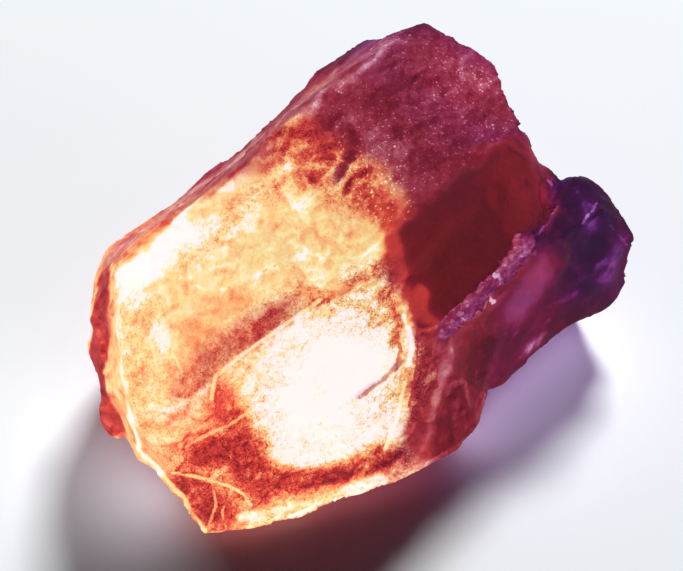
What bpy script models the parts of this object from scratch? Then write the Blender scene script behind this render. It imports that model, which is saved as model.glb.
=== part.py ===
"""Rough ametrine: one natural fragment of two-coloured quartz.

Each lump of the stone is the hull of its corners, and the lumps are joined into one solid.
Curved fracture faces are scooped out of it, then the grains of the druse ledge are fused on.
Sizes are in millimetres until the last step. +X runs along the stone and +Z is up.
"""

import math

import bmesh
import bpy
import numpy as np
from mathutils import Matrix, Vector

MM = 0.001
SEED = 41

# Corners of the main block: the citrine end, the top face and the rose end.
BLOCK = [
    # Contact patch on the table.
    (-17, -4, 0), (-12, -8.5, 0), (-2, -11.5, 0), (9, -10, 0), (16, -5, 0),
    (17, 5, 0), (13, 11, 0), (-8, 12, 0), (-16, 8, 0), (-18, 2, 0),
    # Low edge of the walls.
    (-21.6, -6, 1.6), (-15.9, -9.9, 1.8), (-8.6, -13.3, 2.4), (-6.6, -13.9, 3.4), (-4, -15, 3),
    (-1.7, -15.5, 3), (0.5, -15.3, 3.2), (1.6, -14.6, 4), (19, 2, 5), (19, 10, 5), (-11, 15, 5),
    (-19.5, 9, 4), (-22.2, 1.3, 5), (-21.2, -1, 4.6),
    # Shoulder over the back and right walls.
    (17.9, -5.1, 15), (20, -0.6, 16), (20.8, 1.7, 16), (22.4, 3.8, 16), (21.9, 6.4, 16.5), (21, 10.5, 17),
    (19.7, 12, 16.5), (17, 13.7, 16), (15.1, 14.8, 15), (12.8, 15, 14.5), (-11.4, 15.3, 12.2),
    (-14.6, 14.7, 10.5), (-17.5, 12.4, 9), (-19, 10.8, 8),
    # Ridge between the bevels and the top face.
    (16.5, 10.4, 18.3), (4, 9.2, 19.8), (-14.8, 9.8, 16), (-18, 7.2, 15), (-21.6, 1, 12.5),
    # Ridge over the arched front face and the window.
    (-20, -2.1, 10.5), (-17.2, -2.7, 13.2), (-12.5, -2.7, 16.3), (-9.1, -3.4, 17.3),
    (-6.5, -4.5, 17.5), (-3.7, -6.3, 16.8), (-2.1, -8, 15.2), (-1.9, -9.7, 12.8),
    (0.5, -6.2, 17.9), (16.8, -5.4, 16.6),
    # Front face where it turns under, and the small three-cornered face left of it.
    (-18.2, -7.8, 4), (-10.9, -12.1, 2.8), (-5.4, -12.3, 6.3), (-18.6, -6, 6), (-21, -1.7, 6),
    # Ledge under the window.
    (0.2, -11, 12.8), (12, -10.2, 13),
]

# Corners of the amethyst knob and of the flank that joins it to the block.
KNOB = [
    (19.1, -7.3, 13.4), (20.1, -8.8, 13.6), (20.3, -10.5, 13.3), (20.4, -12.1, 12.2), (20.8, -14.5, 9.2),
    (20.2, -14.8, 7.4), (19.4, -15.2, 5), (17.4, -15.4, 4), (15.2, -14.9, 3.8), (12, -13.8, 3.3),
    (10, -13.5, 3), (7.7, -13.3, 3), (4.2, -13.8, 3.3),
    (12.3, -10.3, 13.1), (15.9, -9.2, 14), (18.6, -9, 14.6), (17.8, -12.4, 13.8), (14.6, -11.8, 13.4),
    (6, -10.5, 12), (6, -8, 3), (18, -3, 6), (8, -11, 0.4), (17.5, -11.5, 0.4), (17.5, -4, 0.4),
]

# Corners of the saddle between the end of the window and the knob.
SADDLE = [
    (17.9, -5.1, 15), (16, -6.3, 15.9), (12, -7.6, 14.6), (19, -7.2, 13.4), (16.1, -9.1, 13.2), (12, -9.6, 13),
    (17, -4, 6), (17.5, -8, 4), (10, -8, 4),
]

# Corners of the small red bulge low on the citrine end.
BULGE = [
    (-22.1, 6, 5), (-21.7, 6.6, 6.8), (-22.1, 4.4, 4.7), (-21.4, 5.6, 3), (-18.6, 9.8, 6), (-20, 5, 9.5),
    (-17, 4, 3),
]

# Each fracture face: where it is, its roll, length, width and depth, and how round its hollow is. The last
# pair, where there is one, is the way it looks: its turn in plan and its slope, in degrees.
FRACTURES = [
    # Silhouette: the long back hollow, the nick at the top, and the hollows of the left and lower edges.
    ("back hollow", (-1, 14.9, 13.6), 0, 26, 12, 1.1, 14),
    ("top nick", (18.3, 12.9, 15.6), 90, 8, 2.6, 0.55, 3.5, (62, 62)),
    ("left nick", (-18.3, 11.6, 9), 20, 5, 3, 0.45, 4),
    ("lower left hollow", (-21.8, -1.2, 3.6), 0, 7.5, 5, 0.9, 6),
    ("flank hollow", (12, -14.2, 3.6), 0, 10, 7, 0.8, 8),
    # Top face: the long citrine hollow, the rose hollow, and the plum pits between them.
    ("citrine hollow", (-4.5, 3, 18.6), 0, 27, 12, 0.55, 24, (-110, 8)),
    ("rose hollow", (12, 3, 18.3), 0, 17, 13.5, 0.5, 26, (-50, 8)),
    ("plum pit 1", (5, 4, 19), 75, 2.8, 1.5, 0.4, 1.2),
    ("plum pit 2", (3, 3.1, 19), 50, 2.6, 1.7, 0.4, 1.3),
    ("plum pit 3", (2.2, 4.7, 19), 10, 2.4, 1.1, 0.3, 1.2),
    ("plum pit 4", (9.6, 3.4, 18.5), 60, 1.8, 1.3, 0.3, 1.2),
    ("plum pit 5", (14.2, 3.6, 18), 10, 1.9, 1, 0.25, 1.2),
    # Bevel along the back.
    ("bevel hollow", (8, 12.4, 16.8), 0, 17, 5.6, 0.35, 14, (92, 45)),
    ("bevel end hollow", (-6, 11.8, 16.4), 0, 15, 4.4, 0.3, 12, (92, 42)),
    # Citrine end: the pale band down its left edge, the mottled slope, and the bevel beside it.
    ("pale band", (-19.3, 4.8, 14), 100, 11, 2.6, 0.35, 4),
    ("mottled slope", (-17, 0, 14.8), 30, 10, 7, 0.45, 12),
    ("left bevel", (-18.4, 9, 11), 80, 9, 5, 0.45, 8),
    # Arched front face, and the facets left of it and along its lower edge.
    ("front face", (-10, -7.6, 10.4), 0, 19, 17, 0.5, 34, (-115, 60)),
    ("bright edge", (-3.2, -10.3, 11.6), 75, 9, 1.8, 0.35, 1.5),
    ("red facet", (-18.2, -4.4, 8.8), 60, 9.5, 6, 0.5, 9),
    ("three-cornered facet", (-20.2, -5.2, 4.3), 20, 6.4, 3.6, 0.45, 5),
    ("lower band", (-13.6, -10.6, 3), 0, 11, 2.2, 0.35, 2.5),
    # Leaf-shaped faces of the flank.
    ("dark leaf", (3.2, -12.6, 8), 95, 11, 4.6, 0.6, 6),
    ("pink leaf", (-1.6, -12.6, 8.2), 110, 11, 3.4, 0.5, 5),
    ("narrow leaf", (-0.2, -13.6, 6.5), 100, 7.5, 1.8, 0.4, 2.5),
    ("lower leaf", (1.6, -14.3, 5.4), 95, 6, 2, 0.4, 3),
    ("wedge leaf", (-4.4, -13.4, 5.6), 120, 8, 2.6, 0.4, 3),
    ("magenta face", (10.5, -12, 9.6), 90, 10, 8.5, 0.5, 14),
    # Knob.
    ("violet facet", (17.9, -11, 14.1), 60, 5.6, 3.4, 0.4, 5),
    ("dark knob face", (15.6, -12.9, 11.6), 20, 7, 5.4, 0.4, 9),
    ("knob edge", (19.4, -14.5, 8), 80, 8, 3, 0.4, 4),
    # Back wall, right end and lower edges, which are broken the same way.
    ("back wall 1", (8, 14.6, 7.6), 35, 15, 9, 0.9, 12),
    ("back wall 2", (-7, 15, 5.5), 10, 12, 7.5, 0.8, 9),
    ("back wall 3", (-16, 13.2, 6), 60, 7, 5, 0.6, 6),
    ("right wall 1", (20.4, 5, 9.5), 80, 15, 10, 0.8, 12),
    ("right wall 2", (19, -1.2, 10), 60, 10, 6, 0.7, 7),
    ("right wall 3", (19.6, 9, 5), 20, 7, 5, 0.6, 5),
    ("knob back", (19.3, -9.5, 7), 70, 9, 7, 0.7, 8),
    ("under front", (-9, -12, 1.4), 5, 13, 3, 0.4, 4),
    ("under knob", (14, -13, 2), 10, 7, 3, 0.4, 4),
    ("under left", (-20, 5, 2), 0, 7, 3.4, 0.5, 4),
]

# The window is a long smooth channel that runs out at the neck beside the knob.
WINDOW_MIDDLE = (12, -8, 15)
WINDOW_LOOKS = (-90, 41)
# Its roll, length, width and depth, and how round its hollow is.
WINDOW_SHAPE = (0, 24, 6.1, 0.5, 9.5)

# Druse grains: where each row of them starts and ends, and how many it has.
LEDGE_ROWS = [
    ((0.4, -10.5, 13.1), (12.2, -9.6, 13.6), 24),
    ((0.6, -11, 12.7), (12.3, -10, 13.3), 26),
    ((2, -11.4, 12.2), (11.5, -10.5, 12.7), 18),
    ((12.5, -9.8, 13.7), (16.3, -9.3, 14.1), 7),
]
GRAIN_RADIUS = 0.36
GRAIN_HEIGHT = 0.55
GRAIN_SIDES = 6
# Each level of a grain's prism: its height as a share of the grain's height, and its share of the radius.
GRAIN_LEVELS = ((-0.9, 0.9), (0.35, 1))
GRAIN_LOOKS = (-95, 42)
GRAIN_LEAN = 0.35
GRAIN_SIZES = (0.7, 1.35)

# How finely a scoop is divided: rings inside its opening, rings past it, and spokes.
RINGS_IN_OPENING = 4
RINGS_PAST_OPENING = 3
SPOKES = 22
# The outer ring of an opening lies a little past the face it is cut in.
OPENING_MARGIN = 1.15
# How far a scoop's outline strays from an ellipse, in two lobes and in three.
UNEVEN_TWO = 0.07
UNEVEN_THREE = 0.05

# Faces this close to one plane, in radians, are joined into one.
SAME_PLANE = math.radians(1.2)

ROSE_RED = (0.58, 0.17, 0.16, 1)
POLISH = 0.16
QUARTZ_IOR = 1.544
CLEARNESS = 0.9


def mesh_object(name, mesh):
    obj = bpy.data.objects.new(name, mesh)
    bpy.context.scene.collection.objects.link(obj)
    return obj


def solid(name, work):
    mesh = bpy.data.meshes.new(name)
    bmesh.ops.recalc_face_normals(work, faces=work.faces)
    work.to_mesh(mesh)
    work.free()
    return mesh_object(name, mesh)


def hull(name, corners):
    """The convex solid that has these corners."""
    work = bmesh.new()
    for corner in corners:
        work.verts.new(corner)
    found = bmesh.ops.convex_hull(work, input=work.verts)
    spare = found["geom_interior"] + found["geom_unused"]
    spare = {item for item in spare if isinstance(item, bmesh.types.BMVert)}
    bmesh.ops.delete(work, geom=list(spare), context="VERTS")
    return solid(name, work)


def facing(turn, slope):
    """The direction a face looks in: its turn in plan from +X, and how far it leans from level, in degrees."""
    turn, slope = math.radians(turn), math.radians(slope)
    return Vector((math.sin(slope) * math.cos(turn), math.sin(slope) * math.sin(turn), math.cos(slope)))


def scoop(name, at, out, roll, length, width, depth, round_mm):
    """An egg-shaped cutter whose opening on a flat face at this point has this length and width.

    Its long way runs level across the face, or down the face at a roll of 90 degrees.
    """
    level = Vector((-out.y, out.x, 0)).normalized()
    down = out.cross(level)
    roll = math.radians(roll)
    along = math.cos(roll) * level + math.sin(roll) * down
    across = out.cross(along)
    open_angle = math.acos(1 - depth / round_mm)
    half_length = length / 2 / math.sin(open_angle)
    half_width = width / 2 / math.sin(open_angle)
    centre = at + (round_mm - depth) * out
    angles = [open_angle * OPENING_MARGIN * ring / RINGS_IN_OPENING for ring in range(1, RINGS_IN_OPENING + 1)]
    rest = math.pi - angles[-1]
    angles += [angles[-1] + rest * ring / (RINGS_PAST_OPENING + 1) for ring in range(1, RINGS_PAST_OPENING + 1)]
    phase = chance.uniform(0, 2 * math.pi, 2)
    work = bmesh.new()
    bottom = work.verts.new(centre - round_mm * out)
    top = work.verts.new(centre + round_mm * out)
    rings = []
    for angle in angles:
        ring = []
        for spoke in range(SPOKES):
            around = 2 * math.pi * spoke / SPOKES
            uneven = 1 + UNEVEN_TWO * math.sin(2 * around + phase[0])
            uneven += UNEVEN_THREE * math.sin(3 * around + phase[1])
            sideways = half_length * math.cos(around) * along + half_width * math.sin(around) * across
            corner = centre + uneven * math.sin(angle) * sideways - round_mm * math.cos(angle) * out
            ring.append(work.verts.new(corner))
        rings.append(ring)
    for spoke in range(SPOKES):
        after = (spoke + 1) % SPOKES
        work.faces.new((bottom, rings[0][after], rings[0][spoke]))
        work.faces.new((top, rings[-1][spoke], rings[-1][after]))
        for inner, outer in zip(rings, rings[1:]):
            work.faces.new((inner[spoke], inner[after], outer[after], outer[spoke]))
    return solid(name, work)


def combine(target, other, operation):
    """Joins the other solid to the target, or cuts it from it."""
    step = target.modifiers.new(other.name, "BOOLEAN")
    step.operation = operation
    step.solver = "EXACT"
    step.object = other
    graph = bpy.context.evaluated_depsgraph_get()
    mesh = bpy.data.meshes.new_from_object(target.evaluated_get(graph))
    target.modifiers.clear()
    target.data = mesh
    bpy.data.objects.remove(other, do_unlink=True)


def carve(name, at, roll, length, width, depth, round_mm, looks=None):
    """Scoops the stone at the point of its surface nearest to this one, square to the face or as it looks."""
    found, at, normal, _ = stone.closest_point_on_mesh(at)
    out = facing(*looks) if looks else normal
    combine(stone, scoop(name, at, out, roll, length, width, depth, round_mm), "DIFFERENCE")


for old in list(bpy.data.objects):
    bpy.data.objects.remove(old, do_unlink=True)
chance = np.random.default_rng(SEED)

stone = hull("ametrine_crystal", BLOCK)

window = scoop("window", Vector(WINDOW_MIDDLE), facing(*WINDOW_LOOKS), *WINDOW_SHAPE)
combine(stone, window, "DIFFERENCE")
combine(stone, hull("saddle", SADDLE), "UNION")
combine(stone, hull("knob", KNOB), "UNION")
combine(stone, hull("bulge", BULGE), "UNION")

for row in FRACTURES:
    carve(*row)


def grain(name, at):
    """A small six-sided point of quartz, leaning its own way."""
    lean = Vector(chance.normal(0, GRAIN_LEAN, 3)) + facing(*GRAIN_LOOKS)
    turn = lean.normalized().to_track_quat("Z", "Y").to_matrix()
    size = chance.uniform(*GRAIN_SIZES)
    phase = chance.uniform(0, math.pi)
    work = bmesh.new()
    levels = []
    for height, share in GRAIN_LEVELS:
        radius = GRAIN_RADIUS * share
        ring = []
        for side in range(GRAIN_SIDES):
            around = phase + 2 * math.pi * side / GRAIN_SIDES
            corner = Vector((radius * math.cos(around), radius * math.sin(around), GRAIN_HEIGHT * height))
            ring.append(work.verts.new(Vector(at) + size * (turn @ corner)))
        levels.append(ring)
    tip = work.verts.new(Vector(at) + size * (turn @ Vector((0, 0, GRAIN_HEIGHT))))
    work.faces.new(levels[0][::-1])
    for side in range(GRAIN_SIDES):
        after = (side + 1) % GRAIN_SIDES
        work.faces.new((levels[0][side], levels[0][after], levels[1][after], levels[1][side]))
        work.faces.new((levels[1][side], levels[1][after], tip))
    return solid(name, work)


for start, end, count in LEDGE_ROWS:
    for number in range(count):
        at = Vector(start).lerp(Vector(end), (number + chance.uniform(0.2, 0.8)) / count)
        found, at, normal, _ = stone.closest_point_on_mesh(at)
        combine(stone, grain("grain", at), "UNION")

# Gaps sealed in between the grains are filled: the outer skin, met first at the far left, is what stays.
work = bmesh.new()
work.from_mesh(stone.data)
skin = {min(work.verts, key=lambda vert: vert.co.x)}
front = list(skin)
while front:
    near = {edge.other_vert(vert) for vert in front for edge in vert.link_edges} - skin
    skin |= near
    front = list(near)
bmesh.ops.delete(work, geom=[vert for vert in work.verts if vert not in skin], context="VERTS")
# Faces in one plane become one before the last split into triangles.
bmesh.ops.dissolve_limit(work, angle_limit=SAME_PLANE, verts=work.verts, edges=work.edges)
bmesh.ops.triangulate(work, faces=work.faces)
work.to_mesh(stone.data)
work.free()
# The origin goes under the middle of the stone, on the table.
extent = np.array([vert.co[:] for vert in stone.data.vertices])
middle = (extent.max(axis=0) + extent.min(axis=0)) / 2
stone.data.transform(Matrix.Translation((-middle[0], -middle[1], 0)))
stone.data.transform(Matrix.Scale(MM, 4))

quartz = bpy.data.materials.new("ametrine")
quartz.use_nodes = True
shader = quartz.node_tree.nodes["Principled BSDF"]
shader.inputs["Base Color"].default_value = ROSE_RED
shader.inputs["Roughness"].default_value = POLISH
shader.inputs["IOR"].default_value = QUARTZ_IOR
shader.inputs["Transmission Weight"].default_value = CLEARNESS
stone.data.materials.append(quartz)
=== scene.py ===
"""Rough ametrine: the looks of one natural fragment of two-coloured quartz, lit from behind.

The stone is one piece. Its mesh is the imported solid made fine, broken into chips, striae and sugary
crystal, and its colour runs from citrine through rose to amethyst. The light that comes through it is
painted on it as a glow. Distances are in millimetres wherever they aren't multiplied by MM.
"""

import math

import bmesh
import bpy
import numpy as np
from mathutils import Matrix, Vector, kdtree, noise
from mathutils.bvhtree import BVHTree


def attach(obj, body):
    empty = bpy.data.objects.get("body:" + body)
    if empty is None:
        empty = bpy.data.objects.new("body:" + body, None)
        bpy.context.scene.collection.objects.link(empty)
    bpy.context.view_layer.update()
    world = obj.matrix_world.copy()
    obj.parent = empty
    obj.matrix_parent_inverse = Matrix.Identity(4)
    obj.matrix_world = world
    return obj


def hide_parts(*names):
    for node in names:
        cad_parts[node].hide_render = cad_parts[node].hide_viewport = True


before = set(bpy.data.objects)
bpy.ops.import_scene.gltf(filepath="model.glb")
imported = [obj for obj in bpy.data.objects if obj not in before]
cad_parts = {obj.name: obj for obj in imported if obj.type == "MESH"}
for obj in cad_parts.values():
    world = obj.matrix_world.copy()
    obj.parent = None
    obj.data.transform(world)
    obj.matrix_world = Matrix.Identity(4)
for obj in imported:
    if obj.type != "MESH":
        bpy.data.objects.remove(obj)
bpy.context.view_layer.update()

# The camera stands off the stone's front left corner and looks down on it, as the photograph does, with
# a long lens. The photograph's own size is what its pixel coordinates are counted in.
MM = 0.001
CAMERA_TURN = math.radians(-45)
CAMERA_RISE = math.radians(55)
LENS = 100
SENSOR = 36
CAMERA_DISTANCE = 158.1 * MM
CLIP_START = 10 * MM
LOOKS_AT = Vector((-0.09, 0.105, 9)) * MM
PHOTO_WIDTH, PHOTO_HEIGHT = 683, 571

camera_data = bpy.data.cameras.new("camera")
camera_data.lens = LENS
camera_data.sensor_width = SENSOR
camera_data.clip_start = CLIP_START
camera = bpy.data.objects.new("camera", camera_data)
away = Vector((
    math.sin(CAMERA_TURN) * math.cos(CAMERA_RISE),
    -math.cos(CAMERA_TURN) * math.cos(CAMERA_RISE),
    math.sin(CAMERA_RISE),
))
camera.location = LOOKS_AT + CAMERA_DISTANCE * away
camera.rotation_euler = (-away).to_track_quat("-Z", "Y").to_euler()
bpy.context.scene.collection.objects.link(camera)
bpy.context.scene.camera = camera
image_right = Vector((math.cos(CAMERA_TURN), math.sin(CAMERA_TURN), 0))
image_up = away.cross(image_right)


# The rough stone: quartz that grew with iron in it, citrine at one end and amethyst at the other, and was
# broken out of its vein. Its fracture faces are curved and stepped, with sugary druse where it met the rock.

# The pitch of the stone's even skin, and the seed of every random draw.
VOXEL = 0.238
SEED = 7

# How far apart the noises lie, how fast their finer layers weaken, and how much finer each layer is.
NOISE_SHIFT = Vector((7.3, 3.1, 5.7))
NOISE_FALL = 1.0
NOISE_STEP = 2.0

# How many bowls vie for a point of the surface, the least that a bowl counts as facing it, and the cosine
# below which a bowl belongs to another face.
RIVAL_BOWLS = 4
LEAST_FACING = 0.5
TURNED_AWAY = 0.62

# The cosines between which the border of a face fades, and the shortest run of a route, squared.
FACE_BORDER = (0.72, 0.86)
SHORTEST_RUN = 1e-9

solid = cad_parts["ametrine_crystal"]
solid_corners = [vert.co / MM for vert in solid.data.vertices]
solid_faces = [list(face.vertices) for face in solid.data.polygons]
solid_tree = BVHTree.FromPolygons(solid_corners, solid_faces)
chance = np.random.default_rng(SEED)


def fine_copy(source):
    """The solid as an even skin of small faces."""
    stone = bpy.data.objects.new("ametrine", source.data.copy())
    bpy.context.scene.collection.objects.link(stone)
    remesh = stone.modifiers.new("even skin", "REMESH")
    remesh.mode = "VOXEL"
    remesh.voxel_size = VOXEL * MM
    graph = bpy.context.evaluated_depsgraph_get()
    mesh = bpy.data.meshes.new_from_object(stone.evaluated_get(graph))
    stone.modifiers.clear()
    stone.data = mesh
    mesh.name = "ametrine"
    mesh.materials.clear()
    return stone


def places():
    """Every point of the stone, in millimetres."""
    flat = np.empty(count * 3)
    stone.data.vertices.foreach_get("co", flat)
    return flat.reshape(-1, 3) / MM


def normals():
    """The way that the surface looks at every point."""
    flat = np.empty(count * 3)
    stone.data.vertices.foreach_get("normal", flat)
    return flat.reshape(-1, 3)


def put(points):
    """Moves the stone's points here, from millimetres."""
    stone.data.vertices.foreach_set("co", (points * MM).ravel())
    stone.data.update()


def blurred(values, times):
    """Values at the points, evened out with those of their neighbours."""
    values = np.asarray(values, float)
    for _ in range(times):
        total = np.zeros_like(values)
        np.add.at(total, edges[:, 0], values[edges[:, 1]])
        np.add.at(total, edges[:, 1], values[edges[:, 0]])
        share = links if values.ndim == 1 else links[:, None]
        values = 0.5 * values + 0.5 * total / share
    return values


def smoothstep(values, low, high):
    """0 below low, 1 above high and smooth in between."""
    share = np.clip((values - low) / (high - low), 0, 1)
    return share * share * (3 - 2 * share)


def roughly(points, size, seed, octaves=3):
    """Smooth noise between -1 and 1 whose lumps are about this size."""
    shift = seed * NOISE_SHIFT
    spots = [Vector(point) / size + shift for point in points]
    return np.array([noise.fractal(spot, NOISE_FALL, NOISE_STEP, octaves) for spot in spots])


def chips(points, outward, spacing, tilt, bowl, pitch=VOXEL):
    """How far each point moves to lie on the lowest of the small bowls that are struck round it.

    Each bowl is nearly flat, leans its own way by tilt, and rises to its rim by bowl times the square of
    the distance. It gives the move, how far the point is from a ridge between bowls, and its bowl's number.
    """
    wanted = int(len(points) * (pitch / spacing) ** 2)
    seeds = chance.choice(len(points), wanted, replace=False)
    leans = outward[seeds] + chance.normal(0, tilt, (wanted, 3))
    leans /= np.linalg.norm(leans, axis=1)[:, None]
    tree = kdtree.KDTree(wanted)
    for number, seed in enumerate(seeds):
        tree.insert(points[seed], number)
    tree.balance()
    nearest = np.array([[hit[1] for hit in tree.find_n(point, RIVAL_BOWLS)] for point in points])
    gap = points[seeds][nearest] - points[:, None, :]
    lean = leans[nearest]
    facing = np.einsum("ijk,ik->ij", lean, outward)
    reach = np.einsum("ijk,ijk->ij", gap, lean) / np.maximum(facing, LEAST_FACING)
    reach += bowl * np.einsum("ijk,ijk->ij", gap, gap)
    turned = np.einsum("ijk,ik->ij", outward[seeds][nearest], outward) < TURNED_AWAY
    turned[:, 0] = False
    reach[turned] = np.inf
    order = np.argsort(reach, axis=1)
    rows = np.arange(len(points))
    lowest = reach[rows, order[:, 0]]
    second = reach[rows, order[:, 1]]
    return lowest, second - lowest, seeds[nearest[rows, order[:, 0]]]


def on_stone(pixel):
    """The point of the solid, in millimetres, that shows at this pixel of the photograph."""
    across = (pixel[0] - PHOTO_WIDTH / 2) / PHOTO_WIDTH * SENSOR / LENS
    upward = (PHOTO_HEIGHT / 2 - pixel[1]) / PHOTO_WIDTH * SENSOR / LENS
    ray = image_right * across + image_up * upward - away
    hit, _, _, _ = solid_tree.ray_cast(camera.location / MM, ray)
    return None if hit is None else np.array(hit)


def toward(turn, slope):
    """1 where the stone's broad form looks this way, in degrees, and 0 where it looks another way."""
    turn, slope = math.radians(turn), math.radians(slope)
    way = np.array((math.sin(slope) * math.cos(turn), math.sin(slope) * math.sin(turn), math.cos(slope)))
    return smoothstep(outward @ way, *FACE_BORDER)


def gap_to(route, spots):
    """How far each of these points is from the route, in millimetres."""
    knots = [hit for hit in map(on_stone, route) if hit is not None]
    knots = knots if len(knots) > 1 else knots * 2
    best = np.full(count, np.inf)
    for start, end in zip(knots, knots[1:]):
        run = end - start
        share = np.clip((spots - start) @ run / max(run @ run, SHORTEST_RUN), 0, 1)
        best = np.minimum(best, np.linalg.norm(spots - start - share[:, None] * run, axis=1))
    return best


def near(route, radius, soft):
    """1 along the route and 0 past the radius, in millimetres. soft is the share of the radius that fades."""
    return 1 - smoothstep(gap_to(route, strayed), radius * (1 - soft), radius)


def strongest(strokes):
    """The greatest share that any of these strokes gives each point."""
    return np.max([share * near(route, radius, soft) for _, share, radius, soft, route in strokes], axis=0)


stone = fine_copy(solid)
count = len(stone.data.vertices)

# The points follow the solid's own edges again, which the even skin had rounded.
SNAP = 0.8
points = places()
snapped = points.copy()
for number, point in enumerate(points):
    snapped[number] = solid_tree.find_nearest(point)[0]
points = SNAP * snapped + (1 - SNAP) * points
put(points)

# The druse ledge along the foot of the window is finer than the rest, so its faces are split.
LEDGE_ROUTE = [(449, 327), (480, 298), (512, 262), (527, 243)]
LEDGE_RADIUS = 0.95
SPLIT_RADIUS = 1.2
SPLIT_SOFT = 0.05
SPLIT_CUTS = 2
MOST_CORNERS = 4
strayed = points
split_here = near(LEDGE_ROUTE, SPLIT_RADIUS, SPLIT_SOFT) > 0
shape = bmesh.new()
shape.from_mesh(stone.data)
shape.verts.ensure_lookup_table()
split_edges = [edge for edge in shape.edges if all(split_here[vert.index] for vert in edge.verts)]
bmesh.ops.subdivide_edges(shape, edges=split_edges, cuts=SPLIT_CUTS, use_grid_fill=True)
bmesh.ops.triangulate(shape, faces=[face for face in shape.faces if len(face.verts) > MOST_CORNERS])
shape.to_mesh(stone.data)
shape.free()
count = len(stone.data.vertices)
points = places()
edges = np.empty(len(stone.data.edges) * 2, int)
stone.data.edges.foreach_get("vertices", edges)
edges = edges.reshape(-1, 2)
links = np.bincount(edges.ravel(), minlength=count)
BROAD_ROUNDS = 4
outward = blurred(normals(), BROAD_ROUNDS)
outward /= np.linalg.norm(outward, axis=1)[:, None]

# Lines are measured over the surface as it is before it is broken. Borders stray a little from their routes.
STRAY = 0.45
STRAY_LUMP = 2.6
STRAY_OCTAVES = 4
unbroken = points
wander = [roughly(points, STRAY_LUMP, number, STRAY_OCTAVES) for number in (11, 12, 13)]
strayed = points + STRAY * np.stack(wander, axis=1)

# Where the surface is sugary, smooth as glass, frosted and striated: how much, how far from the route in
# millimetres, how much of that fades, and the route over the photograph.
FLANK_FACET_ROUTE = [(517, 308), (534, 284), (550, 264)]
LEDGE_STROKES = [
    ("ledge", 1.0, LEDGE_RADIUS, 0.25, LEDGE_ROUTE),
    ("ledge end", 0.7, 0.4, 0.5, [(530, 238), (545, 226), (556, 205), (554, 180)]),
]
SMOOTH_STROKES = [
    ("window", 1.0, 3.2, 0.4, [(415, 250), (450, 222), (500, 182), (522, 160)]),
    ("window low", 1.0, 2.6, 0.4, [(430, 300), (470, 255), (520, 200)]),
    ("flank facet", 0.8, 2.6, 0.4, FLANK_FACET_ROUTE),
]
FROST_STROKES = [
    ("rose end", 1.0, 5.5, 0.5, [(430, 60), (480, 100), (450, 140), (370, 120), (400, 180)]),
]
STRIATED_STROKES = [
    ("bevel", 1.0, 3.2, 0.6, [(385, 38), (330, 80), (270, 128), (215, 172), (150, 225), (112, 262)]),
]
ledge = strongest(LEDGE_STROKES)
smooth_face = strongest(SMOOTH_STROKES) * (1 - ledge)
rough_face = 1 - smooth_face
frost = strongest(FROST_STROKES) * rough_face
striated = strongest(STRIATED_STROKES)

# The smooth faces lose the creases that the solid has there, and the whole skin its smallest steps.
CREASE_ROUNDS = 30
STEP_ROUNDS = 3
evened = blurred(points, CREASE_ROUNDS)
points = points + (evened - points) * smooth_face[:, None]
points = blurred(points, STEP_ROUNDS)

# Chips of three sizes: their spacing, tilt and bowl, how much of that they take, and how deep and how high
# they go at most. The glassy faces take none, the striae half of the middle size, and the faces without frost
# a fifth of the smallest.
CHIP_SIZES = [
    (4.2, 0.10, 0.012, 0.8, -0.28, 0.096),
    (1.7, 0.13, 0.03, 0.8, -0.128, 0.04),
    (0.7, 0.2, 0.08, 1.0, -0.09, 0.03),
]
STRIATED_CALM = 0.5
UNFROSTED = 0.2
off_ledge = 1 - ledge
chip_places = (
    1,
    off_ledge * (1 - STRIATED_CALM * striated),
    off_ledge * (UNFROSTED + (1 - UNFROSTED) * frost),
)
chip_gaps = []
chip_numbers = []
for (spacing, tilt, bowl, taken, deepest, highest), place in zip(CHIP_SIZES, chip_places):
    move, gap, chip = chips(points, outward, spacing, tilt, bowl)
    move = np.clip(taken * move, deepest, highest) * rough_face * place
    points = points + outward * move[:, None]
    chip_gaps.append(gap)
    chip_numbers.append(chip)

# Growth lines run along the bevel at the back, lengthways.
STRIA_WIDTH = 0.55
STRIA_DEPTH = 0.07
STRIA_SEED = 21
STRIA_OCTAVES = 2
LENGTHWAYS = np.array((0.09, 1, 1))
striae = roughly(points * LENGTHWAYS, STRIA_WIDTH, STRIA_SEED, STRIA_OCTAVES)
points = points + outward * (STRIA_DEPTH * striae * striated)[:, None]

# The ledge's druse stands up in small crystals, which are the chips' shape turned outward.
GRAIN_SPACING = 0.5
GRAIN_TILT = 0.30
GRAIN_BOWL = 0.55
GRAIN_DEPTH = 0.05
GRAIN_HEIGHT = 0.30
LEAST_LEDGE = 0.02
rows = np.flatnonzero(ledge > LEAST_LEDGE)
split_pitch = VOXEL / (SPLIT_CUTS + 1)
grain_move, _, _ = chips(points[rows], outward[rows], GRAIN_SPACING, GRAIN_TILT, GRAIN_BOWL, split_pitch)
grain = np.zeros(count)
grain[rows] = np.clip(-grain_move, -GRAIN_DEPTH, GRAIN_HEIGHT) * ledge[rows]
points = points + outward * grain[:, None]

# The flat base stays flat on the table.
points[:, 2] = np.maximum(points[:, 2], 0)
put(points)


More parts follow.
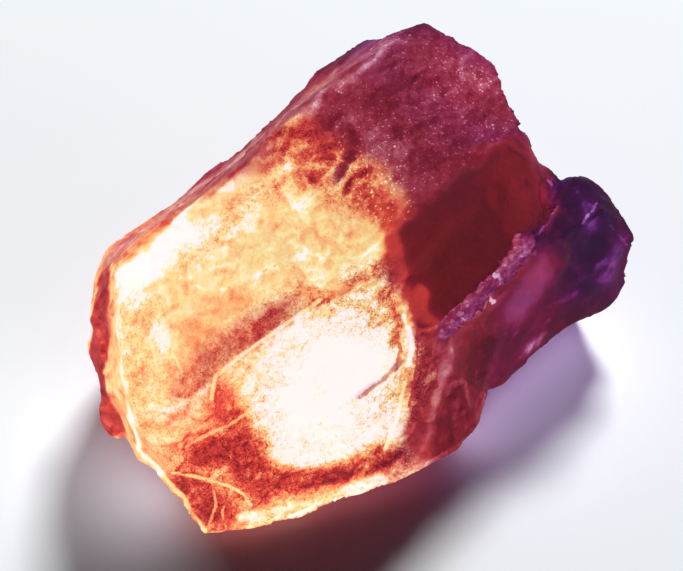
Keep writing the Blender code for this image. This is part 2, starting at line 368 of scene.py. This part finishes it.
class Socket:
    """An output of a node, on which plain arithmetic adds Math nodes."""

    def __init__(self, output):
        self.output = output

    def math(self, operation, *others):
        made = tree.nodes.new("ShaderNodeMath")
        made.operation = operation
        for number, value in enumerate((self, *others)):
            feed(made.inputs[number], value)
        return Socket(made.outputs[0])

    def __add__(self, other):
        return self.math("ADD", other)

    __radd__ = __add__

    def __sub__(self, other):
        return self.math("SUBTRACT", other)

    def __rsub__(self, other):
        return (self * -1) + other

    def __mul__(self, other):
        return self.math("MULTIPLY", other)

    __rmul__ = __mul__

    def __truediv__(self, other):
        return self.math("DIVIDE", other)

    def clamp(self, low=0, high=1):
        """Held between two values."""
        return self.math("MAXIMUM", low).math("MINIMUM", high)

    def between(self, low, high):
        """0 below low, 1 above high and smooth in between."""
        share = ((self - low) / (high - low)).clamp()
        return share * share * (3 - 2 * share)


def feed(target, value):
    """Links a socket or sets a plain value."""
    if isinstance(value, Socket):
        tree.links.new(value.output, target)
    else:
        target.default_value = value


def node(kind, settings=None, values=None, out=0):
    """One node of this type: its settings are set first, then its sockets. It gives one of its outputs."""
    made = tree.nodes.new("ShaderNode" + kind)
    for name, value in (settings or {}).items():
        if name == "stops":
            ramp = made.color_ramp
            while len(ramp.elements) < len(value):
                ramp.elements.new(0.5)
            for element, (place, colour) in zip(ramp.elements, value):
                element.position = place
                element.color = (*colour, 1)
        else:
            setattr(made, name, value)
    for name, value in (values or {}).items():
        feed(made.inputs[name], value)
    return None if out is None else Socket(made.outputs[out])


def mixed(share, first, second, blend="MIX"):
    """Two colours mixed by a share. The node's colour sockets come after those for numbers and vectors."""
    settings = {"data_type": "RGBA", "blend_type": blend, "clamp_factor": True}
    return node("Mix", settings, {0: share, 6: first, 7: second}, out=2)


def keep(name, values):
    """Keeps values at the stone's points under a name that its material reads."""
    layer = stone.data.attributes.new(name, "FLOAT", "POINT")
    layer.data.foreach_set("value", np.asarray(values, np.float32))


def kept(name):
    """Those values, as an output that the shader reads."""
    return node("Attribute", {"attribute_type": "GEOMETRY", "attribute_name": name}, out=2)


# The glow of the light that comes through, painted from broad to fine: how bright, how far it reaches in
# millimetres, how much of that fades, its route over the photograph, and, where it keeps to one face, the
# way that the face looks.
FRONT_FACE = (-115, 60)
TONE_STROKES = [
    # Rose end.
    ("mauve top", 0.46, 7, 0.8, [(400, 55), (480, 80)]),
    ("mauve corner", 0.54, 2.0, 0.9, [(474, 62), (488, 85)]),
    ("rose middle", 0.37, 5, 0.9, [(400, 110), (450, 145), (500, 130)]),
    ("mauve over window", 0.50, 1.5, 0.9, [(402, 215), (430, 192), (462, 172), (495, 148)]),
    ("rose shade", 0.24, 2.0, 0.9, [(425, 158), (465, 142)]),
    ("rose shade high", 0.32, 1.2, 0.9, [(425, 82), (440, 84)]),
    ("rose low", 0.55, 2.2, 0.9, [(400, 150), (380, 165)]),
    ("rose red", 0.54, 2.2, 0.9, [(365, 120), (378, 150), (392, 190)]),
    # The bevel at the back.
    ("back bevel", 0.56, 2.6, 0.6, [(380, 38), (330, 78), (270, 130), (215, 170)]),
    ("back bevel low", 0.70, 2.2, 0.8, [(245, 148), (190, 190), (130, 238)]),
    ("frosted band", 0.76, 0.9, 0.9, [(395, 38), (350, 75), (300, 120), (262, 155), (232, 178)]),
    # Citrine on top.
    ("citrine top", 0.86, 7, 0.5, [(330, 220), (280, 250), (220, 290), (170, 320)]),
    ("citrine high", 0.62, 3.2, 0.9, [(295, 155), (325, 180), (360, 205)]),
    ("cream rim", 0.88, 1.5, 0.9, [(285, 168), (262, 190), (240, 210)]),
    ("cream patch", 0.86, 1.6, 0.9, [(265, 215), (300, 200)]),
    ("yellow middle", 0.84, 2.4, 0.9, [(200, 265), (250, 240), (290, 225)]),
    ("cream middle", 0.92, 0.8, 0.9, [(280, 270), (292, 258), (305, 262)]),
    ("peach", 0.78, 1.5, 0.9, [(258, 252), (245, 265)]),
    ("peach low", 0.78, 1.5, 0.9, [(200, 300), (215, 312)]),
    ("peach right", 0.77, 2.2, 0.9, [(345, 215), (365, 240)]),
    ("yellow low right", 0.90, 1.1, 0.9, [(345, 272), (368, 258), (378, 248)]),
    ("orange border", 0.46, 1.9, 0.9, [(372, 190), (385, 205), (394, 235), (392, 262)]),
    ("plum spots", 0.14, 0.8, 0.8, [(354, 130), (350, 150), (344, 170)]),
    ("plum spot left", 0.26, 0.7, 0.9, [(331, 156), (314, 176)]),
    ("plum spot low", 0.20, 0.6, 0.9, [(350, 186), (368, 168)]),
    ("plum spot far", 0.20, 0.7, 0.9, [(396, 130), (402, 136)]),
    ("red corner", 0.44, 0.6, 0.9, [(302, 124), (288, 142), (278, 156)]),
    ("back band", 1.15, 2.7, 0.7, [(126, 280), (162, 245), (200, 214)]),
    ("back band far", 0.88, 1.7, 0.9, [(200, 214), (226, 190), (250, 176)]),
    ("left band", 1.05, 1.2, 0.8, [(116, 300), (118, 345), (129, 400), (137, 450), (158, 470)]),
    ("left slope", 0.86, 3.0, 0.7, [(140, 320), (142, 380), (152, 430)]),
    ("left slope white", 1.05, 1.0, 0.9, [(160, 325), (168, 350)]),
    ("salmon slope", 0.69, 2.8, 0.8, [(185, 425), (186, 375), (205, 325), (235, 305)]),
    ("mottled slope", 0.57, 1.8, 0.9, [(196, 405), (205, 372), (235, 342), (270, 315)]),
    ("mottled end", 0.60, 1.0, 0.9, [(285, 305), (305, 292)]),
    ("salmon foot", 0.53, 1.3, 0.9, [(200, 395), (208, 412), (220, 430)]),
    ("slope head", 1.00, 1.2, 0.9, [(140, 304), (158, 290)]),
    # Window and flank.
    ("window", 0.07, 4.6, 0.6, [(432, 240), (470, 208), (508, 175)]),
    ("window low", 0.02, 3.6, 0.5, [(432, 305), (470, 260), (515, 212)]),
    ("window right", 0.30, 1.8, 0.9, [(522, 144), (540, 163), (546, 190)]),
    ("window left", 0.36, 1.2, 0.9, [(391, 212), (394, 245), (393, 285)]),
    ("window foot", 0.06, 2.2, 0.8, [(420, 262), (422, 290), (428, 322)]),
    ("window far", 0.10, 1.8, 0.9, [(518, 185), (528, 205)]),
    ("flank", 0.16, 7.5, 0.4, [(480, 415), (530, 340), (590, 300)]),
    ("flank left", 0.44, 2.2, 0.8, [(428, 330), (430, 380), (418, 445)]),
    ("magenta", 0.51, 2.4, 0.8, [(515, 312), (535, 285), (550, 270)]),
    ("dark leaf", 0.04, 1.5, 0.5, [(488, 345), (478, 378)]),
    ("pink leaf", 0.62, 1.1, 0.8, [(455, 352), (440, 390), (425, 440)]),
    ("narrow leaf", 0.02, 0.45, 0.6, [(458, 388), (452, 440)]),
    ("pink leaf right", 0.42, 0.5, 0.8, [(468, 385), (466, 425)]),
    ("lower edge", 0.56, 0.8, 0.9, [(470, 425), (500, 390), (545, 335)]),
    ("knob under", 0.0, 2.2, 0.8, [(560, 330), (600, 305)]),
    ("left bevel", 0.35, 2.0, 0.4, [(101, 285), (97, 330), (98, 380), (106, 425)]),
    # Arched front face.
    ("front face", 0.78, 9, 0.3, [(330, 360), (320, 420), (280, 400)], FRONT_FACE),
    ("front core", 1.5, 6.2, 0.75, [(350, 360), (325, 390), (300, 425)], FRONT_FACE),
    ("front core low", 1.2, 2.8, 0.9, [(290, 450), (345, 445), (382, 425)], FRONT_FACE),
    ("front core left", 1.05, 2.4, 0.9, [(262, 372), (262, 410), (272, 440)], FRONT_FACE),
    ("front core high", 1.05, 1.8, 0.9, [(275, 350), (320, 325), (372, 325)], FRONT_FACE),
    ("front top", 0.84, 1.2, 0.9, [(318, 312), (350, 302), (380, 318)], FRONT_FACE),
    ("front top red", 0.50, 1.0, 0.9, [(380, 292), (396, 312), (398, 345)]),
    ("front left", 0.46, 2.0, 0.9, [(222, 400), (235, 425), (252, 445)]),
    ("front left high", 0.88, 1.2, 0.9, [(232, 375), (262, 352)]),
    ("front foot right", 0.20, 1.0, 0.9, [(372, 470), (400, 458)]),
    ("front rim right", 0.34, 1.3, 0.6, [(420, 300), (428, 340), (426, 380), (416, 440)]),
    ("front low", 0.34, 2.2, 0.9, [(255, 478), (300, 482), (345, 478), (375, 462)]),
    ("front low left", 0.32, 2.6, 0.8, [(205, 452), (235, 455), (262, 484)]),
    ("corner facet", 0.32, 2.2, 0.7, [(190, 485), (215, 515)]),
    ("lower band", 0.98, 0.9, 0.8, [(242, 520), (290, 510), (345, 495), (382, 480)]),
    ("ridge shade", 0.60, 0.5, 0.9, [(205, 380), (212, 366), (236, 346), (262, 330), (296, 304)]),
    # Knob.
    ("knob", 0.10, 6.0, 0.4, [(600, 235)]),
    ("knob shade", 0.02, 2.0, 0.8, [(548, 212), (560, 240), (600, 250)]),
    ("knob violet", 0.50, 1.2, 0.9, [(588, 208), (594, 226)]),
    ("knob spots", 0.80, 0.3, 0.9, [(584, 226), (590, 215), (597, 204)]),
    ("knob edge", 0.42, 1.8, 0.9, [(618, 250), (605, 278)]),
]

# Where the quartz is citrine rather than rose.
WARM_STROKES = [
    ("top", 1.0, 8.5, 0.5, [(320, 220), (240, 260), (160, 320)]),
    ("high", 0.8, 5, 0.9, [(300, 150), (355, 195)]),
    ("front", 1.0, 10, 0.3, [(320, 370), (290, 430), (240, 480)]),
    ("left", 1.0, 8, 0.4, [(120, 340), (140, 430), (205, 520)]),
    ("window", 0.7, 3.6, 0.7, [(420, 262), (465, 228), (500, 200)]),
    ("window low", 0.7, 3.0, 0.5, [(428, 305), (470, 260), (515, 215)]),
    ("window right", 0.0, 4.0, 0.5, [(515, 145), (538, 168), (538, 205)]),
    ("slope", 0.60, 3.4, 0.8, [(180, 410), (190, 390), (212, 360), (245, 335), (285, 308)]),
    ("back bevel", 0.35, 2.6, 0.7, [(370, 45), (300, 100), (220, 170), (110, 260)]),
    ("streak", 0.3, 0.6, 0.7, [(402, 364), (380, 382), (358, 398)]),
    ("plum spots", 0.3, 1.0, 0.9, [(354, 130), (350, 150), (342, 172)]),
    ("left bevel", 0.50, 2.2, 0.5, [(101, 285), (97, 330), (98, 380), (106, 425)]),
    ("flank left", 0.45, 2.0, 0.9, [(424, 330), (425, 380), (412, 445)]),
]

# Where it is amethyst.
VIOLET_STROKES = [
    ("top tinge", 0.22, 8, 0.9, [(430, 60), (500, 100)]),
    ("over window", 0.22, 1.8, 0.9, [(430, 195), (500, 150)]),
    ("flank", 0.5, 9, 0.6, [(490, 410), (540, 340)]),
    ("flank left", 0.15, 2.4, 0.9, [(428, 330), (430, 380), (418, 445)]),
    ("knob", 1.0, 8, 0.6, [(605, 240), (590, 230)]),
    ("knob neck", 0.85, 2.4, 0.8, [(548, 200), (560, 230)]),
    ("window", 0.0, 4.8, 0.3, [(430, 250), (470, 215), (505, 185)]),
    ("window low", 0.0, 3.0, 0.4, [(428, 300), (465, 258), (505, 210)]),
    ("window right", 0.28, 2.6, 0.9, [(528, 148), (542, 175), (540, 205)]),
    ("flank facet", 0.50, 2.8, 0.8, FLANK_FACET_ROUTE),
    ("ledge", 0.55, 1.2, 0.4, LEDGE_ROUTE),
]

# Where small cracks and grains break the light up.
GRIT_STROKES = [
    ("rose", 0.42, 7, 0.7, [(430, 60), (480, 100), (430, 130), (370, 120)]),
    ("citrine", 0.17, 7, 0.6, [(330, 215), (280, 250), (220, 290), (170, 320)]),
    ("front", 1.0, 9.5, 0.2, [(330, 380), (280, 430), (240, 480)], FRONT_FACE),
    ("front low", 0.9, 3.4, 0.4, [(200, 470), (260, 490), (330, 490), (385, 470)]),
    ("slope", 0.6, 4, 0.6, [(180, 420), (300, 310)]),
    ("left slope", 0.5, 3.2, 0.6, [(140, 320), (145, 380), (158, 430)]),
    ("high", 0.65, 4, 0.8, [(290, 140), (350, 180)]),
    ("rim", 0.6, 2.2, 0.8, [(285, 168), (240, 210), (180, 255)]),
    ("border", 1.0, 1.5, 0.8, [(350, 275), (385, 262), (393, 285), (396, 310)]),
    ("front rim right", 0.6, 0.9, 0.6, [(400, 290), (410, 330), (408, 390), (396, 440)]),
    ("lower band", 0.7, 1.8, 0.6, [(205, 520), (290, 511), (378, 482)]),
    ("window", 0.0, 4.8, 0.4, [(430, 250), (470, 215), (505, 185)]),
    ("window low", 0.0, 3.4, 0.4, [(430, 305), (470, 260), (520, 210)]),
    ("flank facet", 0.0, 2.8, 0.5, FLANK_FACET_ROUTE),
]

# Lines where facets meet, painted brighter or darker in the glow, and single bright crystals painted as
# sparkles: how bright, half their width in millimetres, and their route.
EDGES = [
    ("ridge line", 1.02, 0.15, [(211, 400), (216, 376), (240, 356), (264, 341), (300, 314), (320, 300)]),
    ("ridge foot", 0.84, 0.14, [(187, 450), (208, 438), (228, 428), (252, 411)]),
    ("corner line", 1.00, 0.14, [(172, 474), (205, 480), (228, 487), (244, 496), (251, 506)]),
    ("corner cross", 0.86, 0.11, [(212, 482), (216, 505), (208, 528)]),
    ("corner cross far", 0.84, 0.10, [(232, 489), (222, 512), (226, 526)]),
    ("corner edge", 1.00, 0.22, [(161, 470), (183, 500), (203, 532)]),
    ("bright curve", 1.20, 0.20, [(404, 316), (410, 333), (412, 350), (408, 366)]),
    ("bright curve low", 1.05, 0.16, [(405, 382), (398, 418), (386, 450)]),
    ("curve inside", 0.40, 0.12, [(393, 300), (399, 325), (402, 352), (396, 372)]),
    ("curve outside", 0.34, 0.14, [(411, 306), (418, 335), (417, 370), (410, 408)]),
    ("flank line", 0.56, 0.12, [(436, 345), (429, 385), (413, 432)]),
    ("flank line far", 0.50, 0.10, [(462, 352), (450, 392), (436, 432)]),
    ("flank line low", 0.46, 0.10, [(480, 372), (478, 400), (466, 428)]),
    ("streak", 0.60, 0.20, [(403, 362), (388, 376), (370, 389), (360, 397)]),
    ("streak low", 0.80, 0.12, [(352, 402), (335, 415), (320, 427)]),
    ("slope line", 0.98, 0.10, [(158, 316), (150, 338), (156, 362)]),
    ("slope line far", 0.95, 0.10, [(178, 330), (172, 352), (182, 372)]),
    ("crack", 0.62, 0.09, [(262, 270), (280, 262), (300, 268)]),
    ("crack high", 0.66, 0.09, [(205, 250), (232, 238), (258, 232)]),
    ("knob edge", 0.60, 0.12, [(573, 186), (590, 206), (612, 226), (628, 246)]),
    ("knob fleck", 0.95, 0.13, [(583, 223), (588, 215)]),
    ("knob fleck far", 0.90, 0.11, [(592, 212), (597, 203)]),
    ("ledge spark", 1.10, 0.20, [(495, 275), (500, 281)]),
    ("ledge spark low", 1.15, 0.22, [(491, 299), (496, 303)]),
    ("ledge spark far", 0.90, 0.14, [(462, 318), (466, 322)]),
    ("druse dots", 0.75, 0.12, [(540, 232), (548, 223)]),
    ("druse dots far", 0.75, 0.11, [(553, 214), (558, 205)]),
    ("druse dots high", 0.78, 0.12, [(549, 180), (554, 184)]),
]


def painted(start, strokes):
    """A value at each point after these strokes have gone over it in turn."""
    values = np.zeros(count) + start
    for _, value, reach, soft, route, *looks in strokes:
        share = near(route, reach, soft)
        if looks:
            share = share * toward(*looks[0])
        values = values * (1 - share) + value * share
    return values


# The two colours are zones of the whole crystal, so they carry on over its hidden sides. X grows toward the
# amethyst end, which is the darker one.
# The painted glow goes on over the hidden sides as well, dimmer toward the amethyst end.
HIDDEN_TONE = 0.47
TONE_FALL_PER_MM = 0.012
TONE_LUMP = 5
TONE_LUMP_SHARE = 0.14
WARM_LEAST, WARM_RISE, WARM_RANGE = 0.2, 0.7, (-2, 17)
VIOLET_LEAST, VIOLET_RISE, VIOLET_RANGE = 0.1, 0.8, (9, 20)
HIDDEN_GRIT = 0.12
LEDGE_TONE = 0.45
hidden_tone = HIDDEN_TONE - TONE_FALL_PER_MM * points[:, 0] + TONE_LUMP_SHARE * roughly(points, TONE_LUMP, 1)
tone = painted(hidden_tone, TONE_STROKES) * (1 - ledge) + LEDGE_TONE * ledge
warm = painted(WARM_LEAST + WARM_RISE * smoothstep(-strayed[:, 0], *WARM_RANGE), WARM_STROKES)
violet = painted(VIOLET_LEAST + VIOLET_RISE * smoothstep(strayed[:, 0], *VIOLET_RANGE), VIOLET_STROKES)
grit = painted(HIDDEN_GRIT, GRIT_STROKES)

# Each point keeps how many half widths it is from the nearest line, and how bright that line is.
FAR_FROM_LINES = 9
widths = np.stack([gap_to(route, unbroken) / half for _, _, half, route in EDGES])
edge_gap = np.minimum(widths.min(axis=0), FAR_FROM_LINES)
edge_tone = np.array([value for _, value, _, _ in EDGES])[widths.argmin(axis=0)]

# Each chip shows the light a little differently, and ridges between the two smaller sizes catch it.
CHIP_SHADES = (0.03, 0.035, 0.03)
MID_RIDGE = 0.03
SMALL_RIDGE = 0.02
SMALL_RIDGE_SHARE = 0.6
shade = np.zeros(count)
for chip, share in zip(chip_numbers, CHIP_SHADES):
    table = chance.normal(0, 1, count)
    shade += share * table[chip]
shade *= rough_face
mid_ridge = np.exp(-chip_gaps[1] / MID_RIDGE)
small_ridge = SMALL_RIDGE_SHARE * np.exp(-chip_gaps[2] / SMALL_RIDGE)
ridge = np.maximum(mid_ridge, small_ridge) * rough_face

# Painted light and shade on the chips by the way they lean: those that lean back and up are painted brighter,
# the ledge's crystals less so.
BACK_AND_UP = np.array((-0.1, 0.75, 0.65))
LEDGE_CALM = 0.65
LEDGE_FROST = 0.6
relief = (normals() - outward) @ BACK_AND_UP * rough_face * (1 - LEDGE_CALM * ledge)

# Painted light for the table: the clear left end and the thin violet edge glow onto it, as if they let the
# lamp through.
SPILL_STROKES = [
    ("left end", 1.0, 5, 0.6, [(110, 300), (95, 360), (100, 430), (140, 462)]),
]
EDGE_SPILL_STROKES = [
    ("violet edge", 1.0, 4, 0.5, [(478, 405), (520, 350), (575, 312), (605, 290)]),
]

surface_values = {
    "relief": relief,
    "tone": tone,
    "warm": warm,
    "violet": violet,
    "grit": grit,
    "shade": shade,
    "ridge": ridge,
    "frost": np.clip(frost + LEDGE_FROST * ledge, 0, 1),
    "smooth_face": smooth_face,
    "striated": striated,
    "edge_gap": edge_gap,
    "edge_tone": edge_tone,
    "spill": strongest(SPILL_STROKES),
    "edge_spill": strongest(EDGE_SPILL_STROKES),
}
for name, values in surface_values.items():
    keep(name, values)

# Colours of the light in the quartz, from its darkest to its brightest, and of the clear quartz itself.
CITRINE_STOPS = [
    (0.00, (0.080, 0.003, 0.007)),
    (0.18, (0.19, 0.009, 0.018)),
    (0.30, (0.43, 0.032, 0.026)),
    (0.44, (0.60, 0.060, 0.038)),
    (0.52, (0.70, 0.16, 0.075)),
    (0.64, (0.84, 0.37, 0.13)),
    (0.76, (0.89, 0.58, 0.23)),
    (0.86, (0.89, 0.77, 0.31)),
    (0.94, (0.93, 0.89, 0.48)),
    (1.00, (0.96, 1.00, 0.96)),
]
ROSE_STOPS = [
    (0.00, (0.07, 0.004, 0.009)),
    (0.30, (0.17, 0.010, 0.025)),
    (0.50, (0.27, 0.030, 0.055)),
    (0.60, (0.33, 0.065, 0.105)),
    (0.70, (0.42, 0.13, 0.17)),
    (0.82, (0.58, 0.30, 0.34)),
    (1.00, (0.85, 0.72, 0.76)),
]
AMETHYST_STOPS = [
    (0.00, (0.020, 0.002, 0.026)),
    (0.30, (0.050, 0.004, 0.058)),
    (0.50, (0.11, 0.020, 0.16)),
    (0.70, (0.23, 0.07, 0.32)),
    (1.00, (0.58, 0.47, 0.88)),
]
TINT = (0.26, 0.16, 0.22, 1)
QUARTZ_IOR = 1.544
CLEARNESS = 0.85
GLOSS = 0.2
GLOW = 0.92
ABSORBED = (0.88, 0.50, 0.50, 1)
ABSORPTION_PER_METRE = 60

# The painted light that the stone sends down to the table for its tinted shadow: plum from its body, violet
# from the amethyst, and a bright painted light at its two clear places, standing for the lamp's light through
# them. The share is what the table gets of this instead of the glow.
PLUM_LIGHT = (0.14, 0.008, 0.045, 1)
VIOLET_LIGHT = (0.24, 0.05, 0.42, 1)
EDGE_LIGHT = (2.2, 1.7, 2.7, 1)
SPILLED_LIGHT = (3.5, 3.3, 3.65, 1)
TABLE_SHARE = 0.9

# Noise: how many lumps it has to a millimetre, how many finer layers, and how strong those are.
SPECKLE = {"Scale": 2.2, "Detail": 6, "Roughness": 0.75}
MOTTLE = {"Scale": 0.5, "Detail": 5, "Roughness": 0.6}
WORM = {"Scale": 2.0, "Detail": 4, "Roughness": 0.7, "Distortion": 0.7}
SUGAR = {"Scale": 4.5, "Detail": 4, "Roughness": 0.8}
STRIA = {"Scale": 2.4, "Detail": 3, "Roughness": 0.6}
STRIA_STRETCH = (0.12, 1, 1)
GLINTS_PER_MM = 7.0

# What each of them adds to the tone, plainly and where the stone is gritty.
SPECKLE_PLAIN, SPECKLE_GRITTY = 0.12, 1.05
CREASE_PLAIN, CREASE_GRITTY = 0.02, 0.42
MOTTLE_SHARE = 0.11
SUGAR_SHARE = 0.22
PAINTED_FACET_LIGHT_SHARE = 0.55
GLINT_SHARE = 0.3
STRIA_SHARE = 0.5
RIDGE_SHARE = 0.06

# Where each of them starts and ends to show.
CREASE_RANGE = (0.004, 0.035)
SUGAR_RANGE = (0.60, 0.70)
GLINT_RANGE = (0.90, 1.0)
LINE_RANGE = (0.6, 1.5)
WARM_BORDER, WARM_RAGGED = (0.15, 0.85), 0.5
VIOLET_BORDER, VIOLET_RAGGED = (0.0, 1.0), 0.3

# Lines are broken up by the same noise.
LINE_SHARE = 0.7
LINE_SPECKLE, LINE_MOTTLE, LINE_TONE_SPECKLE = 3.2, 2, 0.3

# The surface: its plain roughness, what frost and speckle add and what glassy faces take, and the bump.
ROUGHNESS = 0.26
FROST_ROUGHNESS, SPECKLE_ROUGHNESS, SMOOTH_ROUGHNESS = 0.2, 0.1, 0.18
BUMP_STRENGTH = 0.45
BUMP_DEPTH = 0.1 * MM
SUGAR_BUMP, SPECKLE_BUMP = 2, 0.4

quartz = bpy.data.materials.new("ametrine")
quartz.use_nodes = True
tree = quartz.node_tree
tree.nodes.clear()


def textured(kind, vector, amounts, out=0):
    """A procedural texture over this vector."""
    return node("Tex" + kind, {}, {"Vector": vector, **amounts}, out)


in_metres = node("TexCoord", out=3)
in_mm = node("VectorMath", {"operation": "SCALE"}, {0: in_metres, "Scale": 1 / MM})
along_bevel = node("VectorMath", {"operation": "MULTIPLY"}, {0: in_mm, 1: STRIA_STRETCH})
speckle = textured("Noise", in_mm, SPECKLE)
mottle = textured("Noise", in_mm, MOTTLE)
worm = textured("Noise", in_mm, WORM)
sugar = textured("Noise", in_mm, SUGAR)
stria = textured("Noise", along_bevel, STRIA)
glint_cells = textured("Voronoi", in_mm, {"Scale": GLINTS_PER_MM}, out=1)
glint = node("SeparateXYZ", {}, {0: glint_cells}).between(*GLINT_RANGE) * kept("frost")
crease = 1 - (worm - 0.5).math("ABSOLUTE").between(*CREASE_RANGE)
gritty = kept("grit")
unlined = (
    kept("tone")
    + (speckle - 0.5) * (SPECKLE_PLAIN + gritty * SPECKLE_GRITTY)
    + (mottle - 0.5) * MOTTLE_SHARE
    - sugar.between(*SUGAR_RANGE) * gritty * SUGAR_SHARE
    - crease * (CREASE_PLAIN + gritty * CREASE_GRITTY)
    + kept("shade")
    + kept("relief") * PAINTED_FACET_LIGHT_SHARE
    + glint * GLINT_SHARE
    + (stria - 0.5) * kept("striated") * STRIA_SHARE
    + kept("ridge") * RIDGE_SHARE
)
ragged_gap = kept("edge_gap") + (speckle - 0.5) * LINE_SPECKLE + (mottle - 0.5) * LINE_MOTTLE
on_line = 1 - ragged_gap.between(*LINE_RANGE)
line_tone = kept("edge_tone") + (speckle - 0.5) * LINE_TONE_SPECKLE
bright = unlined + on_line * LINE_SHARE * (line_tone - unlined)
citrine = node("ValToRGB", {"stops": CITRINE_STOPS}, {"Fac": bright})
rose = node("ValToRGB", {"stops": ROSE_STOPS}, {"Fac": bright})
amethyst = node("ValToRGB", {"stops": AMETHYST_STOPS}, {"Fac": bright})
warm_share = (kept("warm") + (mottle - 0.5) * WARM_RAGGED).between(*WARM_BORDER)
violet_share = (kept("violet") + (mottle - 0.5) * VIOLET_RAGGED).between(*VIOLET_BORDER)
glow = mixed(violet_share, mixed(warm_share, rose, citrine), amethyst)

# The painted glow stands for the lamp's own light on its way to the eye, so little of it falls back on the
# table, which sees the painted table light instead.
to_table = node("LightPath", out=2)
on_table = mixed(kept("violet"), PLUM_LIGHT, VIOLET_LIGHT)
on_table = mixed(kept("edge_spill"), on_table, EDGE_LIGHT)
on_table = mixed(kept("spill"), on_table, SPILLED_LIGHT)

frost_roughness = kept("frost") * FROST_ROUGHNESS + speckle * SPECKLE_ROUGHNESS
fine_height = sugar * kept("frost") * SUGAR_BUMP + speckle * (1 - kept("smooth_face")) * SPECKLE_BUMP
bump = node("Bump", {}, {"Strength": BUMP_STRENGTH, "Distance": BUMP_DEPTH, "Height": fine_height})
# The painted glow is the stone's emission, and, darkened by the quartz's tint, its base colour as well.
shader = node("BsdfPrincipled", {}, {
    "Base Color": mixed(1.0, glow, TINT, "MULTIPLY"),
    "Roughness": ROUGHNESS + frost_roughness - kept("smooth_face") * SMOOTH_ROUGHNESS,
    "Normal": bump,
    "Emission Color": mixed(to_table * TABLE_SHARE, glow, on_table),
    "Emission Strength": GLOW,
    "Transmission Weight": CLEARNESS,
    "IOR": QUARTZ_IOR,
    "Specular IOR Level": GLOSS,
})
absorber = node("VolumeAbsorption", {}, {"Color": ABSORBED, "Density": ABSORPTION_PER_METRE})
node("OutputMaterial", {}, {"Surface": shader, "Volume": absorber}, out=None)
quartz.cycles.emission_sampling = "NONE"
stone.data.materials.append(quartz)
for polygon in stone.data.polygons:
    polygon.use_smooth = True
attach(stone, "root")
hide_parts("ametrine_crystal")


# The photographer's table is plain white paper under one soft lamp, which stands behind the stone, so that
# the shadow falls forward. The light that comes through the stone is painted on it as its glow. The room
# gives the rest.
FLOOR_SIDE = 2
FLOOR_WHITE = (0.83, 0.865, 0.89, 1)
FLOOR_ROUGHNESS = 0.8
LAMP_WIDTH = 250 * MM
LAMP_HEIGHT = 110 * MM
LAMP_DISTANCE = 1000 * MM
LAMP_TURN = math.radians(29)
LAMP_RISE = math.radians(38)
LAMP_POWER = 16.3
ROOM_LIGHT = 0.18
ROOM_WHITE = (0.96, 0.98, 1, 1)

bpy.ops.mesh.primitive_plane_add(size=FLOOR_SIDE, location=(0, 0, 0))
floor = bpy.context.object
floor.name = "table"
paper = bpy.data.materials.new("table")
paper.use_nodes = True
paper_shader = paper.node_tree.nodes["Principled BSDF"]
paper_shader.inputs["Base Color"].default_value = FLOOR_WHITE
paper_shader.inputs["Roughness"].default_value = FLOOR_ROUGHNESS
floor.data.materials.append(paper)
floor.visible_glossy = False

lamp_data = bpy.data.lights.new("lamp", "AREA")
lamp_data.shape = "RECTANGLE"
lamp_data.size = LAMP_WIDTH
lamp_data.size_y = LAMP_HEIGHT
lamp_data.energy = LAMP_POWER
lamp = bpy.data.objects.new("lamp", lamp_data)
toward_lamp = Vector((
    math.cos(LAMP_TURN) * math.cos(LAMP_RISE),
    math.sin(LAMP_TURN) * math.cos(LAMP_RISE),
    math.sin(LAMP_RISE),
))
lamp.location = toward_lamp * LAMP_DISTANCE
lamp.rotation_euler = (-toward_lamp).to_track_quat("-Z", "Y").to_euler()
lamp.visible_glossy = False
lamp.visible_transmission = False
bpy.context.scene.collection.objects.link(lamp)

world = bpy.data.worlds.new("room")
bpy.context.scene.world = world
world.use_nodes = True
background = world.node_tree.nodes["Background"]
background.inputs["Color"].default_value = ROOM_WHITE
background.inputs["Strength"].default_value = ROOM_LIGHT
# The room doesn't light the table. It shows in the stone's gloss and through it.
world.cycles_visibility.diffuse = False
bpy.context.scene.view_settings.view_transform = "Standard"
